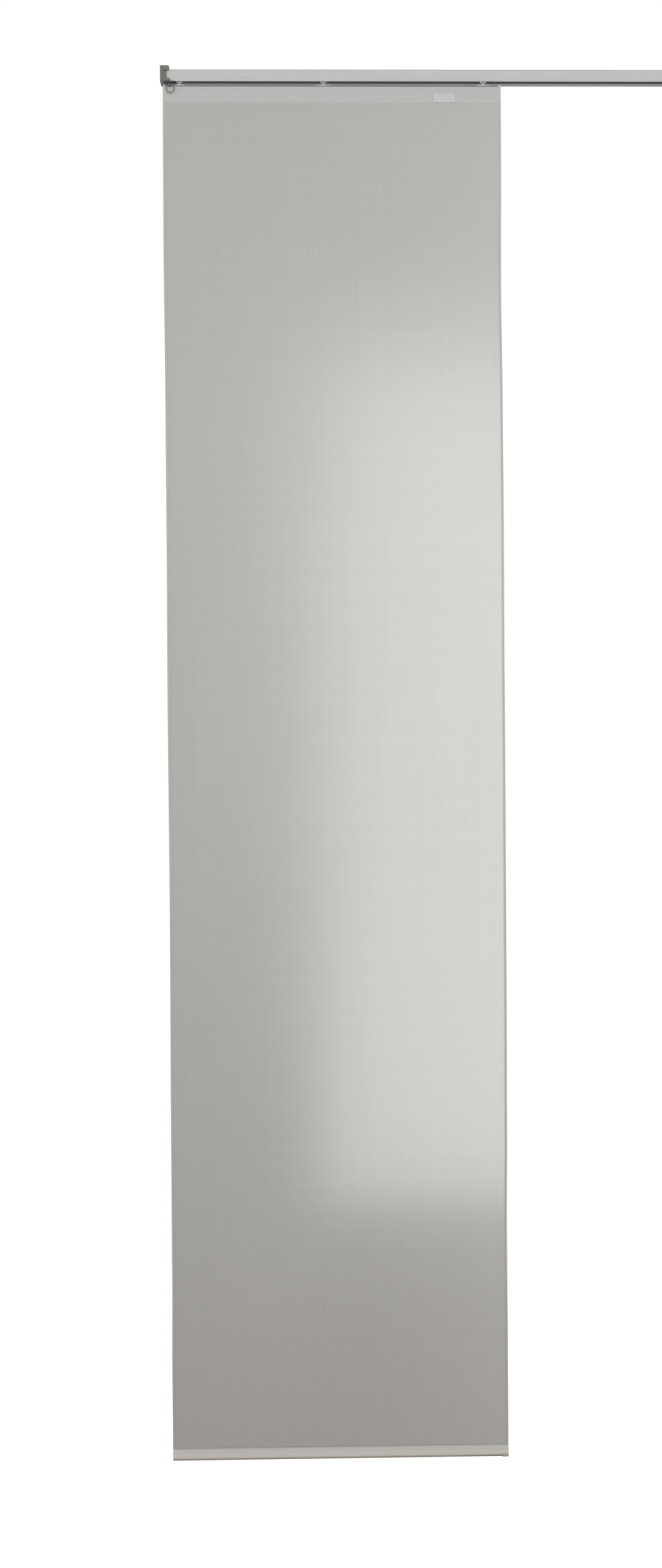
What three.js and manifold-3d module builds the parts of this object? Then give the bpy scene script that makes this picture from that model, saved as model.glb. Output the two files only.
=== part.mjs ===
// Sliding panel curtain: one flat cloth panel that hangs from a slotted ceiling rail.
//
// Millimetres. X runs along the rail, Y is depth (the room side is -Y) and Z is up.
// The origin lies on the ceiling face of the left end bracket, at the middle of its end block.

import * as THREE from 'three';
import { mergeVertices } from 'three/addons/utils/BufferGeometryUtils.js';
import Module from 'manifold-3d';

const wasm = await Module();
wasm.setup();

// Fitting gap between a piece and what holds or guides it
const GAP = 0.3;

// Rail: an aluminium extrusion with one slotted channel and two closed chambers
const RAIL_SPAN = 1200; // outer face to outer face of the two end brackets
const RAIL_DEPTH = 20;
const RAIL_HEIGHT = 21;
const RAIL_WALL = 1.2;
const RAIL_EDGE_RADIUS = 0.9;
const LIP_THICKNESS = 1.1; // the two lips that the gliders run on
const SLOT_INSET = 2.1; // front face of the rail to the slot
const SLOT_WIDTH = 7.4;
const CHANNEL_DEPTH = 10.8; // inside the channel, front to back
const CHANNEL_HEIGHT = 9.3; // lips to roof
const GROOVE_RISE = 5.5; // the thin line along the front face, above the underside
const GROOVE_HALF_HEIGHT = 0.4;
const GROOVE_CUT = 0.3;

// End bracket: a casting that plugs into the rail's rear chamber and wraps the rail's end
const BLOCK_LENGTH = 7.6; // end block beyond the rail's end
const FLANGE_THICKNESS = 5.7; // between the ceiling and the rail
const CHEEK_THICKNESS = 2;
const CHEEK_LENGTH = 3.8; // front cheek beside the window, past the end block
const TOP_TAB_LENGTH = 8.1; // past the end block
const TOP_TAB_LAP = 2.3; // how far it laps down over the rail's front
const BOTTOM_TAB_LENGTH = 10.8;
const BOTTOM_TAB_HEIGHT = 4.6;
const WINDOW_RADIUS = 1.5;
const BLOCK_RECESS = 0.8; // the end block's front lies behind the cheek by this much
const BLOCK_CORNER = 3; // rear outer corner, cut at 45 degrees
const TAB_CHAMFER = 1.2;
const SPIGOT_LENGTH = 14;
const SPIGOT_LEAD = 1;
const CEILING_HOLE_DIAMETER = 3.9;
const COUNTERSINK_DIAMETER = 7;
const CLAMP_HOLE_DIAMETER = 3;
const CLAMP_HOLE_INSET = 1.2; // past the end block
const CLAMP_HOLE_DROP = 3.2; // below the rail's top
const CLAMP_SCREW_LENGTH = 1.3;
const CLAMP_SOCKET_WIDTH = 1.3;
const CLAMP_SOCKET_DEPTH = 0.8;

// End stop: a slotted block in the channel with an eye and a hanging ring
const STOP_INSET = 17.8; // bracket's outer face to the middle of the stop
const STOP_LENGTH = 16;
const STOP_BLOCK_HEIGHT = 5;
const STOP_PLATE_THICKNESS = 2.4;
const STOP_PLATE_BACK = 4.9; // plate's reach behind the slot's middle
const EYE_THICKNESS = 1.6;
const EYE_WALL = 1;
const EYE_DROP = 3.4; // plate's underside to the middle of the eye
const STOP_SCREW_DIAMETER = 3;
const STOP_SLOT_WIDTH = 0.7;
const STOP_SLOT_DEPTH = 0.8;
const RING_DIAMETER = 16;
const RING_WIRE = 2;

// Carrier: the aluminium strip that the cloth is hooked on
const CARRIER_DROP = 6.2; // rail's underside to the carrier's top
const CARRIER_BOX_WIDTH = 5;
const CARRIER_BOX_HEIGHT = 5.2;
const CARRIER_WALL = 0.9;
const CARRIER_SLOT_WIDTH = 2;
const CARRIER_PLATE_THICKNESS = 1.4;
const CARRIER_PLATE_HEIGHT = 21.6;
const CAP_INSET = 0.4; // cloth's edge to the cap's outer face
const CAP_LENGTH = 3.6;
const CAP_RISE = 1.4; // above the carrier's top
const CAP_PLUG_LENGTH = 8;

// Gliders: nylon, one neck each, hooked into the carrier's groove
const GLIDER_LEFT_INSET = 29.1; // cloth's left edge to the first glider
const GLIDER_MIDDLE_SHIFT = -15.2; // cloth's middle to the second glider
const GLIDER_RIGHT_INSET = 31; // third glider to the cloth's right edge
const GLIDER_HEAD_LENGTH = 11;
const GLIDER_HEAD_THICKNESS = 2.4;
const GLIDER_HEAD_RADIUS = 2;
const GLIDER_CROWN_LENGTH = 7;
const GLIDER_CROWN_HEIGHT = 2;
const GLIDER_NECK_DIAMETER = 3;
const GLIDER_SADDLE_LENGTH = 25;
const GLIDER_SADDLE_TOP_LENGTH = 10;
const GLIDER_SADDLE_THICKNESS = 1.2;
const GLIDER_WEB_LENGTH = 10;
const GLIDER_FOOT_LENGTH = 20;
const GLIDER_FOOT_THICKNESS = 1.8;

// Cloth panel
const CLOTH_WIDTH = 600;
const CLOTH_DROP = 2445;
const CLOTH_THICKNESS = 0.6;
const CLOTH_INSET = 4.3; // bracket's outer face to the cloth's left edge
const CLOTH_TOP_LAP = 2.5; // cloth's top edge below the carrier's top
const SIDE_HEM_WIDTH = 4;
const TAPE_HEIGHT = 20;
const TAPE_THICKNESS = 1.3; // each half of the hook and loop tape
const LABEL_INSET = 81.3; // label's right end to the cloth's right edge
const LABEL_WIDTH = 39;
const LABEL_HEIGHT = 17;
const LABEL_DROP = 11; // below the cloth's top edge
const LABEL_THICKNESS = 0.3;

// Weight bar in the bottom hem
const HEM_HEIGHT = 21;
const BAR_HEIGHT = 16;
const BAR_THICKNESS = 3.6;
const BAR_END_INSET = 4;
const CLIP_LENGTH = 11;
const CLIP_HEIGHT = 5.4;
const CLIP_WALL = 0.7;

// Facets
const ARC_STEPS = 4;
const ROUND_SIDES = 24;
const RING_SIDES = 48;
const WIRE_SIDES = 12;

// Levels and planes that several pieces share
const railFront = -RAIL_DEPTH / 2;
const railBack = RAIL_DEPTH / 2;
const railTop = -(FLANGE_THICKNESS + GAP);
const railBottom = railTop - RAIL_HEIGHT;
const lipTop = railBottom + LIP_THICKNESS;
const channelFront = railFront + RAIL_WALL;
const channelBack = channelFront + CHANNEL_DEPTH;
const channelRoof = lipTop + CHANNEL_HEIGHT;
const chamberFront = channelBack + RAIL_WALL;
const slotFront = railFront + SLOT_INSET;
const slotBack = slotFront + SLOT_WIDTH;
const slotMiddle = (slotFront + slotBack) / 2;

const leftOuter = -BLOCK_LENGTH / 2;
const rightOuter = leftOuter + RAIL_SPAN;
const railLeft = leftOuter + BLOCK_LENGTH + GAP;
const railRight = rightOuter - BLOCK_LENGTH - GAP;
const cheekFront = railFront - GAP - CHEEK_THICKNESS;
const cheekBack = railBack + GAP + CHEEK_THICKNESS;

const carrierTop = railBottom - CARRIER_DROP;
const carrierBoxBottom = carrierTop - CARRIER_BOX_HEIGHT;
const carrierBoxFront = slotMiddle - CARRIER_BOX_WIDTH / 2;
const carrierBoxBack = slotMiddle + CARRIER_BOX_WIDTH / 2;
const clothBack = carrierBoxFront - GAP - CLOTH_THICKNESS; // leaves room for the side hem
const clothFront = clothBack - CLOTH_THICKNESS;
const clothMiddle = (clothFront + clothBack) / 2;
const clothTop = carrierTop - CLOTH_TOP_LAP;
const clothBottom = clothTop - CLOTH_DROP;
const clothLeft = leftOuter + CLOTH_INSET;
const clothRight = clothLeft + CLOTH_WIDTH;
const tapeTop = carrierBoxBottom - GAP;
const tapeMeet = clothBack + TAPE_THICKNESS;
const plateFront = tapeMeet + TAPE_THICKNESS;
const plateBack = plateFront + CARRIER_PLATE_THICKNESS;
const carrierLeft = clothLeft + CAP_INSET + CAP_LENGTH;
const carrierRight = clothRight - CAP_INSET - CAP_LENGTH;

const stopPlateTop = railBottom - GAP;
const stopPlateBottom = stopPlateTop - STOP_PLATE_THICKNESS;
const eyeHoleRadius = RING_WIRE / 2 + GAP;
const eyeRadius = eyeHoleRadius + EYE_WALL;
const eyeY = clothFront - GAP - eyeRadius;
const eyeZ = stopPlateBottom - EYE_DROP;

// Finishes
function finish(color, roughness, metalness) {
  return new THREE.MeshStandardMaterial({ color, roughness, metalness });
}

const SILVER_COAT = finish(0xbcbdbb, 0.45, 0.35);
const ZINC = finish(0x84847f, 0.5, 0.8);
const NICKEL = finish(0xb9b8ae, 0.25, 1);
const STEEL = finish(0x4c4c4a, 0.4, 0.9);
const ALUMINIUM = finish(0x8d8e8c, 0.5, 0.7);
const NYLON = finish(0xdcdcd6, 0.55, 0);
const CLOTH = finish(0xd9d8d3, 0.9, 0);
const TAPE = finish(0xe6e6e2, 0.95, 0);
const LABEL = finish(0xe4e4e2, 0.8, 0);
const CLEAR_GREY = finish(0xa5a69a, 0.4, 0);

// A closed geometry as a solid that can be cut and joined
function toSolid(geometry) {
  const bare = new THREE.BufferGeometry();
  bare.setAttribute('position', geometry.getAttribute('position'));
  bare.setIndex(geometry.index);
  const merged = mergeVertices(bare, 1e-4);
  const corners = merged.index.array;
  const kept = [];
  for (let i = 0; i < corners.length; i += 3) {
    const [a, b, c] = [corners[i], corners[i + 1], corners[i + 2]];
    if (a !== b && b !== c && c !== a) kept.push(a, b, c);
  }
  return new wasm.Manifold(new wasm.Mesh({
    numProp: 3,
    vertProperties: new Float32Array(merged.getAttribute('position').array),
    triVerts: new Uint32Array(kept),
  }));
}

function toGeometry(solid) {
  const mesh = solid.getMesh();
  const indexed = new THREE.BufferGeometry();
  indexed.setAttribute('position', new THREE.BufferAttribute(new Float32Array(mesh.vertProperties), 3));
  indexed.setIndex(new THREE.BufferAttribute(new Uint32Array(mesh.triVerts), 1));
  const flat = indexed.toNonIndexed();
  flat.computeVertexNormals();
  return flat;
}

const joined = (...solids) => solids.reduce((all, next) => all.add(next));

// An outline from corner points [across, up, radius]; a radius rounds that corner
function outline(corners) {
  const shape = new THREE.Shape();
  const point = (i) => new THREE.Vector2(...corners[(i + corners.length) % corners.length]);
  corners.forEach(([across, up, radius = 0], i) => {
    const corner = new THREE.Vector2(across, up);
    const before = point(i - 1).sub(corner).setLength(radius).add(corner);
    const after = point(i + 1).sub(corner).setLength(radius).add(corner);
    if (i === 0) shape.moveTo(before.x, before.y);
    else shape.lineTo(before.x, before.y);
    if (radius > 0) shape.quadraticCurveTo(corner.x, corner.y, after.x, after.y);
  });
  shape.closePath();
  return shape;
}

const rectangle = (left, right, low, high, radius = 0) => outline([
  [left, low, radius],
  [right, low, radius],
  [right, high, radius],
  [left, high, radius],
]);

const X = new THREE.Vector3(1, 0, 0);
const Y = new THREE.Vector3(0, 1, 0);
const Z = new THREE.Vector3(0, 0, 1);

function extruded(shape, depth, curveSegments = ARC_STEPS) {
  return new THREE.ExtrudeGeometry(shape, { depth, curveSegments, bevelEnabled: false });
}

// An outline in Y and Z, drawn out along X
function alongX(shape, from, to, curveSegments) {
  const turn = new THREE.Matrix4().makeBasis(Y, Z, X);
  return extruded(shape, to - from, curveSegments).applyMatrix4(turn).translate(from, 0, 0);
}

// An outline in X and Z, drawn out along Y
function alongY(shape, from, to) {
  const turn = new THREE.Matrix4().makeBasis(X, Z, Y.clone().negate());
  return extruded(shape, to - from).applyMatrix4(turn).translate(0, to, 0);
}

// An outline in X and Y, drawn out along Z
function alongZ(shape, from, to) {
  return extruded(shape, to - from).translate(0, 0, from);
}

const block = (x, y, z) => alongX(rectangle(y[0], y[1], z[0], z[1]), x[0], x[1]);

// A turned pin on the Z axis, from pairs of radius and height
function turned(profile, sides = ROUND_SIDES) {
  const points = profile.map(([radius, height]) => new THREE.Vector2(radius, height));
  return new THREE.LatheGeometry(points, sides).rotateX(Math.PI / 2);
}

function pin(radius, low, high, sides) {
  return turned([[0, low], [radius, low], [radius, high], [0, high]], sides);
}

// Rail

function railSection() {
  const grooveZ = railBottom + GROOVE_RISE;
  return outline([
    [railFront, railBottom, RAIL_EDGE_RADIUS / 2],
    [slotFront, railBottom],
    [slotFront, lipTop],
    [channelFront, lipTop],
    [channelFront, channelRoof],
    [channelBack, channelRoof],
    [channelBack, lipTop],
    [slotBack, lipTop],
    [slotBack, railBottom],
    [railBack, railBottom, RAIL_EDGE_RADIUS],
    [railBack, railTop, RAIL_EDGE_RADIUS],
    [railFront, railTop, RAIL_EDGE_RADIUS],
    [railFront, grooveZ + GROOVE_HALF_HEIGHT],
    [railFront + GROOVE_CUT, grooveZ],
    [railFront, grooveZ - GROOVE_HALF_HEIGHT],
  ]);
}

function makeRail() {
  const chamberTop = railTop - RAIL_WALL;
  const ends = [railLeft - 1, railRight + 1];
  const rearChamber = block(ends, [chamberFront, railBack - RAIL_WALL], [lipTop, chamberTop]);
  const upperChamber = block(ends, [channelFront, channelBack], [channelRoof + RAIL_WALL, chamberTop]);
  const bar = toSolid(alongX(railSection(), railLeft, railRight));
  return toGeometry(bar.subtract(toSolid(rearChamber)).subtract(toSolid(upperChamber)));
}

// End brackets, drawn for the left end

const clampHoleX = leftOuter + BLOCK_LENGTH + CLAMP_HOLE_INSET;
const clampHoleZ = railTop - CLAMP_HOLE_DROP;

function frontCheek() {
  const inner = leftOuter + BLOCK_LENGTH;
  const windowTop = railTop - TOP_TAB_LAP;
  const windowBottom = railBottom + BOTTOM_TAB_HEIGHT;
  const shape = outline([
    [leftOuter, railBottom],
    [inner + BOTTOM_TAB_LENGTH, railBottom, TAB_CHAMFER],
    [inner + BOTTOM_TAB_LENGTH - TAB_CHAMFER, windowBottom, TAB_CHAMFER],
    [inner + CHEEK_LENGTH, windowBottom, WINDOW_RADIUS],
    [inner + CHEEK_LENGTH, windowTop, WINDOW_RADIUS],
    [inner + TOP_TAB_LENGTH, windowTop, TAB_CHAMFER],
    [inner + TOP_TAB_LENGTH, 0, TAB_CHAMFER],
    [leftOuter, 0],
  ]);
  return alongY(shape, cheekFront, railFront - GAP);
}

function endBlock() {
  const inner = leftOuter + BLOCK_LENGTH;
  const plan = outline([
    [leftOuter, cheekFront],
    [inner, cheekFront],
    [inner, cheekBack],
    [leftOuter + BLOCK_CORNER, cheekBack],
    [leftOuter, cheekBack - BLOCK_CORNER],
  ]);
  return alongZ(plan, railBottom, 0);
}

function ceilingFlange() {
  const plan = outline([
    [leftOuter + GAP, cheekFront],
    [leftOuter + BLOCK_LENGTH + TOP_TAB_LENGTH, cheekFront, TAB_CHAMFER],
    [leftOuter + BLOCK_LENGTH + TOP_TAB_LENGTH, cheekBack, TAB_CHAMFER],
    [leftOuter + BLOCK_CORNER, cheekBack],
    [leftOuter + GAP, cheekBack - BLOCK_CORNER],
  ]);
  return alongZ(plan, -FLANGE_THICKNESS, 0);
}

function rearCheek() {
  const end = leftOuter + BLOCK_LENGTH + TOP_TAB_LENGTH;
  const shape = outline([
    [leftOuter + BLOCK_CORNER, railBottom],
    [end, railBottom, TAB_CHAMFER],
    [end, 0, TAB_CHAMFER],
    [leftOuter + BLOCK_CORNER, 0],
  ]);
  return alongY(shape, railBack + GAP, cheekBack);
}

function spigot() {
  const front = chamberFront + GAP;
  const back = railBack - RAIL_WALL - GAP;
  const start = leftOuter + BLOCK_LENGTH / 2;
  const end = leftOuter + BLOCK_LENGTH + SPIGOT_LENGTH;
  const plan = outline([
    [start, front],
    [end - SPIGOT_LEAD, front],
    [end, front + SPIGOT_LEAD],
    [end, back - SPIGOT_LEAD],
    [end - SPIGOT_LEAD, back],
    [start, back],
  ]);
  return alongZ(plan, lipTop + GAP, railTop - RAIL_WALL - GAP);
}

function ceilingHole() {
  const radius = CEILING_HOLE_DIAMETER / 2;
  const headRadius = COUNTERSINK_DIAMETER / 2;
  const low = -FLANGE_THICKNESS;
  const x = leftOuter + BLOCK_LENGTH + TOP_TAB_LENGTH / 2;
  return turned([
    [0, low - GAP],
    [headRadius, low - GAP],
    [headRadius, low],
    [radius, low + headRadius - radius],
    [radius, 1],
    [0, 1],
  ]).translate(x, 0, 0);
}

function makeBracket() {
  const casting = joined(
    toSolid(endBlock()),
    toSolid(frontCheek()),
    toSolid(ceilingFlange()),
    toSolid(rearCheek()),
    toSolid(spigot()),
  );
  const clampHole = pin(CLAMP_HOLE_DIAMETER / 2, 0, CHEEK_THICKNESS + 2 * GAP)
    .rotateX(-Math.PI / 2)
    .translate(clampHoleX, cheekFront - GAP, clampHoleZ);
  const recess = block(
    [leftOuter - 1, leftOuter + BLOCK_LENGTH - BLOCK_RECESS],
    [cheekFront - 1, cheekFront + BLOCK_RECESS],
    [railBottom - 1, railTop - TOP_TAB_LAP],
  );
  const cuts = joined(toSolid(ceilingHole()), toSolid(clampHole), toSolid(recess));
  return toGeometry(casting.subtract(cuts));
}

// The grub screw bears on the rail's front face
function makeClampScrew() {
  const radius = CLAMP_HOLE_DIAMETER / 2 - GAP;
  const body = pin(radius, 0, CLAMP_SCREW_LENGTH);
  const socketFloor = CLAMP_SCREW_LENGTH - CLAMP_SOCKET_DEPTH;
  const socket = pin(CLAMP_SOCKET_WIDTH / 2, socketFloor, CLAMP_SCREW_LENGTH + 1, 6);
  return toGeometry(toSolid(body).subtract(toSolid(socket)))
    .rotateX(Math.PI / 2)
    .translate(clampHoleX, railFront, clampHoleZ);
}

// End stops, drawn for the left end

const stopX = leftOuter + STOP_INSET;

function stopSection() {
  const plateBackY = slotMiddle + STOP_PLATE_BACK;
  const blockTop = lipTop + GAP + STOP_BLOCK_HEIGHT;
  return outline([
    [cheekFront, stopPlateBottom, 0.5],
    [plateBackY, stopPlateBottom, 0.5],
    [plateBackY, stopPlateTop],
    [slotBack - GAP, stopPlateTop],
    [slotBack - GAP, lipTop + GAP],
    [channelBack - GAP, lipTop + GAP],
    [channelBack - GAP, blockTop, 1],
    [channelFront + GAP, blockTop, 1],
    [channelFront + GAP, lipTop + GAP],
    [slotFront + GAP, lipTop + GAP],
    [slotFront + GAP, stopPlateTop],
    [cheekFront, stopPlateTop],
  ]);
}

// A thin upright eye in front of the cloth, its hole running along X
function eyeLug() {
  const top = stopPlateBottom + STOP_PLATE_THICKNESS / 2;
  const shape = new THREE.Shape();
  shape.moveTo(eyeY + eyeRadius, top);
  shape.lineTo(cheekFront, top);
  shape.lineTo(eyeY - eyeRadius, eyeZ);
  shape.absarc(eyeY, eyeZ, eyeRadius, Math.PI, 2 * Math.PI, false);
  shape.closePath();
  const lug = alongX(shape, stopX - EYE_THICKNESS / 2, stopX + EYE_THICKNESS / 2, 3 * ARC_STEPS);
  const hole = pin(eyeHoleRadius, -EYE_THICKNESS, EYE_THICKNESS)
    .rotateY(Math.PI / 2)
    .translate(stopX, eyeY, eyeZ);
  return toSolid(lug).subtract(toSolid(hole));
}

function makeEndStop() {
  const body = toSolid(alongX(stopSection(), stopX - STOP_LENGTH / 2, stopX + STOP_LENGTH / 2));
  const bore = pin(STOP_SCREW_DIAMETER / 2 + GAP, stopPlateBottom - 1, channelRoof)
    .translate(stopX, slotMiddle, 0);
  return toGeometry(body.add(eyeLug()).subtract(toSolid(bore)));
}

// The stop's screw presses on the channel's roof and is driven from below
function makeStopScrew() {
  const radius = STOP_SCREW_DIAMETER / 2;
  const low = stopPlateBottom + GAP;
  const shank = toSolid(pin(radius, low, channelRoof - GAP));
  const slotHalf = STOP_SLOT_WIDTH / 2;
  const slot = block([-radius - 1, radius + 1], [-slotHalf, slotHalf], [low - 1, low + STOP_SLOT_DEPTH]);
  return toGeometry(shank.subtract(toSolid(slot))).translate(stopX, slotMiddle, 0);
}

function makeRing() {
  const radius = (RING_DIAMETER - RING_WIRE) / 2;
  return new THREE.TorusGeometry(radius, RING_WIRE / 2, WIRE_SIDES, RING_SIDES)
    .rotateX(Math.PI / 2)
    .translate(stopX, eyeY, eyeZ - radius);
}

// Carrier

function makeCarrier() {
  const grooveTop = carrierTop - CARRIER_WALL;
  const grooveBottom = carrierBoxBottom + CARRIER_WALL;
  const plateBottom = carrierBoxBottom - CARRIER_PLATE_HEIGHT;
  const section = outline([
    [plateFront, plateBottom],
    [plateBack, plateBottom],
    [plateBack, carrierBoxBottom],
    [carrierBoxBack, carrierBoxBottom],
    [carrierBoxBack, carrierTop],
    [slotMiddle + CARRIER_SLOT_WIDTH / 2, carrierTop],
    [slotMiddle + CARRIER_SLOT_WIDTH / 2, grooveTop],
    [carrierBoxBack - CARRIER_WALL, grooveTop],
    [carrierBoxBack - CARRIER_WALL, grooveBottom],
    [carrierBoxFront + CARRIER_WALL, grooveBottom],
    [carrierBoxFront + CARRIER_WALL, grooveTop],
    [slotMiddle - CARRIER_SLOT_WIDTH / 2, grooveTop],
    [slotMiddle - CARRIER_SLOT_WIDTH / 2, carrierTop],
    [carrierBoxFront, carrierTop],
    [carrierBoxFront, carrierBoxBottom],
    [plateFront, carrierBoxBottom],
  ]);
  return alongX(section, carrierLeft, carrierRight);
}

// The left end cap: a head over the carrier's end and a plug in its groove
function makeCarrierCap() {
  const head = alongX(
    rectangle(carrierBoxFront, carrierBoxBack, carrierBoxBottom, carrierTop + CAP_RISE, 1),
    carrierLeft - CAP_LENGTH,
    carrierLeft,
  );
  const inset = CARRIER_WALL + GAP;
  const plug = block(
    [carrierLeft - CAP_LENGTH / 2, carrierLeft + CAP_PLUG_LENGTH],
    [carrierBoxFront + inset, carrierBoxBack - inset],
    [carrierBoxBottom + inset, carrierTop - inset],
  );
  return toGeometry(toSolid(head).add(toSolid(plug)));
}

function tape(front, left, right) {
  return block([left, right], [front, front + TAPE_THICKNESS], [tapeTop - TAPE_HEIGHT, tapeTop]);
}

const makeHookTape = () => tape(tapeMeet, carrierLeft, carrierRight);

function makeLoopTape() {
  const inset = SIDE_HEM_WIDTH + GAP;
  return tape(clothBack, clothLeft + inset, clothRight - inset);
}

// Gliders, each drawn at X = 0

function gliderHead() {
  const half = GLIDER_HEAD_LENGTH / 2;
  const crownHalf = GLIDER_CROWN_LENGTH / 2;
  const low = lipTop + GAP;
  const high = low + GLIDER_HEAD_THICKNESS;
  const front = channelFront + GAP;
  const back = channelBack - GAP;
  const slab = alongZ(rectangle(-half, half, front, back, GLIDER_HEAD_RADIUS), low, high);
  const radius = GLIDER_HEAD_RADIUS;
  const crownPlan = rectangle(-crownHalf, crownHalf, front + radius, back - radius, radius);
  const crown = alongZ(crownPlan, high - GAP, high + GLIDER_CROWN_HEIGHT);
  return toSolid(slab).add(toSolid(crown));
}

function gliderSaddle(low) {
  const half = GLIDER_SADDLE_LENGTH / 2;
  const topHalf = GLIDER_SADDLE_TOP_LENGTH / 2;
  const high = low + GLIDER_SADDLE_THICKNESS;
  const profile = outline([
    [-half, low],
    [half, low],
    [half, low + GLIDER_SADDLE_THICKNESS / 3],
    [topHalf, high],
    [-topHalf, high],
    [-half, low + GLIDER_SADDLE_THICKNESS / 3],
  ]);
  return toSolid(alongY(profile, carrierBoxFront + GAP, carrierBoxBack - GAP));
}

function makeGlider() {
  const saddleLow = carrierTop + GAP;
  const footTop = carrierTop - CARRIER_WALL - GAP;
  const neck = pin(GLIDER_NECK_DIAMETER / 2, saddleLow + GAP, lipTop + GAP + GLIDER_HEAD_THICKNESS / 2, 16)
    .translate(0, slotMiddle, 0);
  const webHalf = CARRIER_SLOT_WIDTH / 2 - GAP;
  const web = block(
    [-GLIDER_WEB_LENGTH / 2, GLIDER_WEB_LENGTH / 2],
    [slotMiddle - webHalf, slotMiddle + webHalf],
    [footTop - GLIDER_FOOT_THICKNESS / 2, saddleLow + GLIDER_SADDLE_THICKNESS / 2],
  );
  const foot = alongZ(
    rectangle(
      -GLIDER_FOOT_LENGTH / 2,
      GLIDER_FOOT_LENGTH / 2,
      carrierBoxFront + CARRIER_WALL + GAP,
      carrierBoxBack - CARRIER_WALL - GAP,
      1,
    ),
    footTop - GLIDER_FOOT_THICKNESS,
    footTop,
  );
  const hook = joined(gliderSaddle(saddleLow), toSolid(web), toSolid(foot));
  return toGeometry(joined(gliderHead(), toSolid(neck), hook));
}

// Cloth: one sheet with its bottom turned up round the weight bar, and turned side hems

const hemRadius = BAR_THICKNESS / 2 + GAP + CLOTH_THICKNESS;
const hemArcZ = clothBottom + hemRadius;
const hemShoulderZ = hemArcZ + BAR_HEIGHT - BAR_THICKNESS;
const hemTop = clothBottom + HEM_HEIGHT;

function clothSection() {
  const turnZ = (hemShoulderZ + hemTop) / 2;
  const flapBack = clothBack + CLOTH_THICKNESS;
  const hemFront = clothMiddle - hemRadius;
  const hemBack = clothMiddle + hemRadius;
  const shape = new THREE.Shape();
  shape.moveTo(clothFront, clothTop);
  shape.lineTo(clothFront, hemTop);
  shape.bezierCurveTo(clothFront, turnZ, hemFront, turnZ, hemFront, hemShoulderZ);
  shape.lineTo(hemFront, hemArcZ);
  shape.absarc(clothMiddle, hemArcZ, hemRadius, Math.PI, 2 * Math.PI, false);
  shape.lineTo(hemBack, hemShoulderZ);
  shape.bezierCurveTo(hemBack, turnZ, flapBack, turnZ, flapBack, hemTop);
  shape.lineTo(clothBack, hemTop);
  shape.lineTo(clothBack, clothTop);
  shape.closePath();
  return shape;
}

// The hollow of the bottom hem, pointed where its two layers meet
function tunnelSection() {
  const inner = hemRadius - CLOTH_THICKNESS;
  const turnZ = (hemShoulderZ + hemTop) / 2;
  const tunnel = new THREE.Shape();
  tunnel.moveTo(clothMiddle - inner, hemArcZ);
  tunnel.lineTo(clothMiddle - inner, hemShoulderZ);
  tunnel.quadraticCurveTo(clothMiddle - inner, turnZ, clothBack, turnZ + CLOTH_THICKNESS);
  tunnel.quadraticCurveTo(clothMiddle + inner, turnZ, clothMiddle + inner, hemShoulderZ);
  tunnel.lineTo(clothMiddle + inner, hemArcZ);
  tunnel.absarc(clothMiddle, hemArcZ, inner, 0, -Math.PI, true);
  return tunnel;
}

function sideHem(left) {
  const span = [left, left + SIDE_HEM_WIDTH];
  const depth = [clothMiddle, clothBack + CLOTH_THICKNESS];
  return toSolid(block(span, depth, [hemTop - CLOTH_THICKNESS, clothTop]));
}

function makeCloth() {
  const sheet = alongX(clothSection(), clothLeft, clothRight, 2 * ARC_STEPS);
  const tunnel = alongX(tunnelSection(), clothLeft - 1, clothRight + 1, 2 * ARC_STEPS);
  const hemmed = joined(toSolid(sheet), sideHem(clothLeft), sideHem(clothRight - SIDE_HEM_WIDTH));
  return toGeometry(hemmed.subtract(toSolid(tunnel)));
}

function makeLabel() {
  const right = clothRight - LABEL_INSET;
  const top = clothTop - LABEL_DROP;
  const face = rectangle(right - LABEL_WIDTH, right, top - LABEL_HEIGHT, top, 1);
  return alongY(face, clothFront - LABEL_THICKNESS, clothFront);
}

// Weight bar with round edges, and the clip that keeps it in the hem

function stadium(radius, lowZ, highZ) {
  const shape = new THREE.Shape();
  shape.moveTo(clothMiddle + radius, lowZ);
  shape.lineTo(clothMiddle + radius, highZ);
  shape.absarc(clothMiddle, highZ, radius, 0, Math.PI, false);
  shape.lineTo(clothMiddle - radius, lowZ);
  shape.absarc(clothMiddle, lowZ, radius, Math.PI, 2 * Math.PI, false);
  return shape;
}

function makeWeightBar() {
  const section = stadium(BAR_THICKNESS / 2, hemArcZ, hemShoulderZ);
  return alongX(section, clothLeft + BAR_END_INSET, clothRight - BAR_END_INSET);
}

function makeBarClip() {
  const inner = hemRadius + GAP;
  const outer = inner + CLIP_WALL;
  const high = clothBottom + CLIP_HEIGHT;
  const shape = new THREE.Shape();
  shape.moveTo(clothMiddle - outer, high);
  shape.lineTo(clothMiddle - outer, hemArcZ);
  shape.absarc(clothMiddle, hemArcZ, outer, Math.PI, 2 * Math.PI, false);
  shape.lineTo(clothMiddle + outer, high);
  shape.lineTo(clothMiddle + inner, high);
  shape.lineTo(clothMiddle + inner, hemArcZ);
  shape.absarc(clothMiddle, hemArcZ, inner, 0, -Math.PI, true);
  shape.lineTo(clothMiddle - inner, high);
  shape.closePath();
  return alongX(shape, clothRight - CLIP_LENGTH, clothRight, 2 * ARC_STEPS);
}

// Assembly

function piece(parent, name, geometry, material) {
  const mesh = new THREE.Mesh(geometry, material);
  mesh.name = name;
  parent.add(mesh);
  return mesh;
}

// A group that mirrors what it holds about the plane X = middle
function mirrored(parent, middle) {
  const group = new THREE.Group();
  group.scale.x = -1;
  group.position.x = 2 * middle;
  parent.add(group);
  return group;
}

const panelCurtain = new THREE.Group();

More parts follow.
